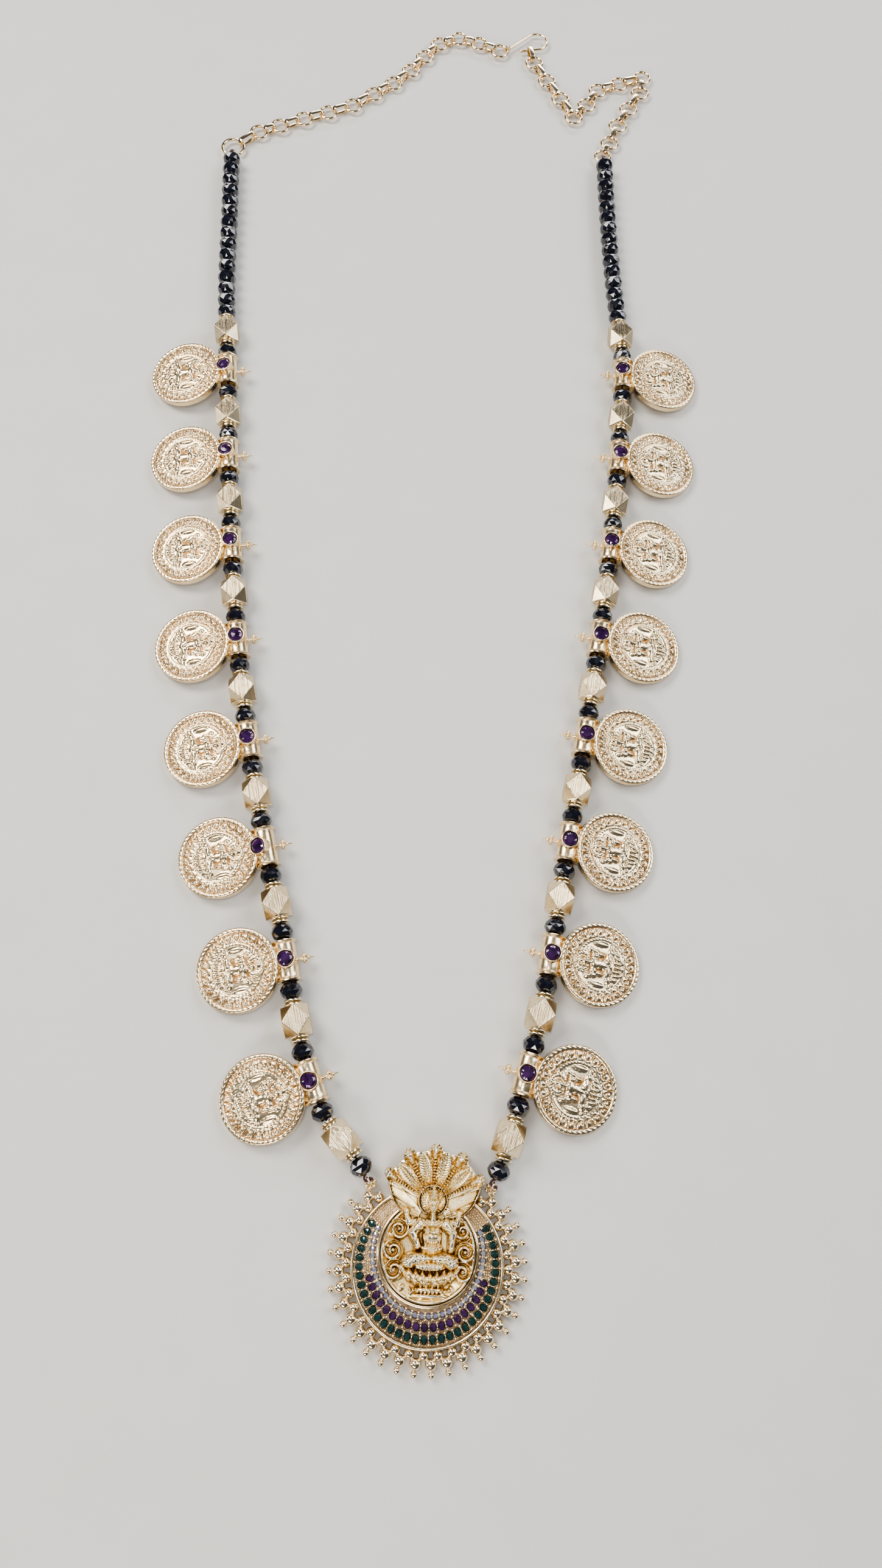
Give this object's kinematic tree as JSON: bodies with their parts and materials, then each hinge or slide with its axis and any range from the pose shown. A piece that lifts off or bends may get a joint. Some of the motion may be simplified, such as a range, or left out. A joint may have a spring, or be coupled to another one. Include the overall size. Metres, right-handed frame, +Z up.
{
  "type": "temple jewellery necklace",
  "caption": "Beaded necklace laid flat, with coin drops, a goddess pendant in a fringed stone crescent, and a ring chain that closes with a hook.",
  "frame": {"origin": "centre of the pendant's flat back, on the table", "axes": "+X to the wearer's left as seen from the front, +Y up the pendant towards the hook, +Z up from the table, through the pendant's face"},
  "size_m": [0.1548, 0.3957, 0.0079],
  "materials": {
    "pale_gold": "polished pale gold",
    "antique_gold": "antique gold, dark in the recesses",
    "rosy_gold": "satin rosy gold",
    "bead_gold": "brushed and polished facets",
    "green_stone": "polished",
    "purple_stone": "polished",
    "dark_bead": "polished facets",
    "thread": "waxed"
  },
  "bodies": {
    "root": {"pendant": "pale_gold", "medallion": "antique_gold", "green_stones": "green_stone", "ruby_stones": "purple_stone", "left_drop_1": "rosy_gold", "left_drop_2": "rosy_gold", "left_drop_3": "rosy_gold", "left_drop_4": "rosy_gold", "left_drop_5": "rosy_gold", "left_drop_6": "rosy_gold", "left_drop_7": "rosy_gold", "left_drop_8": "rosy_gold", "right_drop_1": "rosy_gold", "right_drop_2": "rosy_gold", "right_drop_3": "rosy_gold", "right_drop_4": "rosy_gold", "right_drop_5": "rosy_gold", "right_drop_6": "rosy_gold", "right_drop_7": "rosy_gold", "right_drop_8": "rosy_gold", "left_gold_bead_1": "bead_gold", "left_gold_bead_2": "bead_gold", "left_gold_bead_3": "bead_gold", "left_gold_bead_4": "bead_gold", "left_gold_bead_5": "bead_gold", "left_gold_bead_6": "bead_gold", "left_gold_bead_7": "bead_gold", "left_gold_bead_8": "bead_gold", "left_gold_bead_9": "bead_gold", "right_gold_bead_1": "bead_gold", "right_gold_bead_2": "bead_gold", "right_gold_bead_3": "bead_gold", "right_gold_bead_4": "bead_gold", "right_gold_bead_5": "bead_gold", "right_gold_bead_6": "bead_gold", "right_gold_bead_7": "bead_gold", "right_gold_bead_8": "bead_gold", "right_gold_bead_9": "bead_gold", "left_drop_stones": "purple_stone", "right_drop_stones": "purple_stone", "left_dark_beads": "dark_bead", "right_dark_beads": "dark_bead", "left_strand": "dark_bead", "right_strand": "dark_bead", "left_thread": "thread", "right_thread": "thread", "left_jump_ring": "pale_gold", "right_jump_ring": "pale_gold", "left_chain": "pale_gold", "right_chain": "pale_gold", "hook": "pale_gold"}
  },
  "joints": []
}
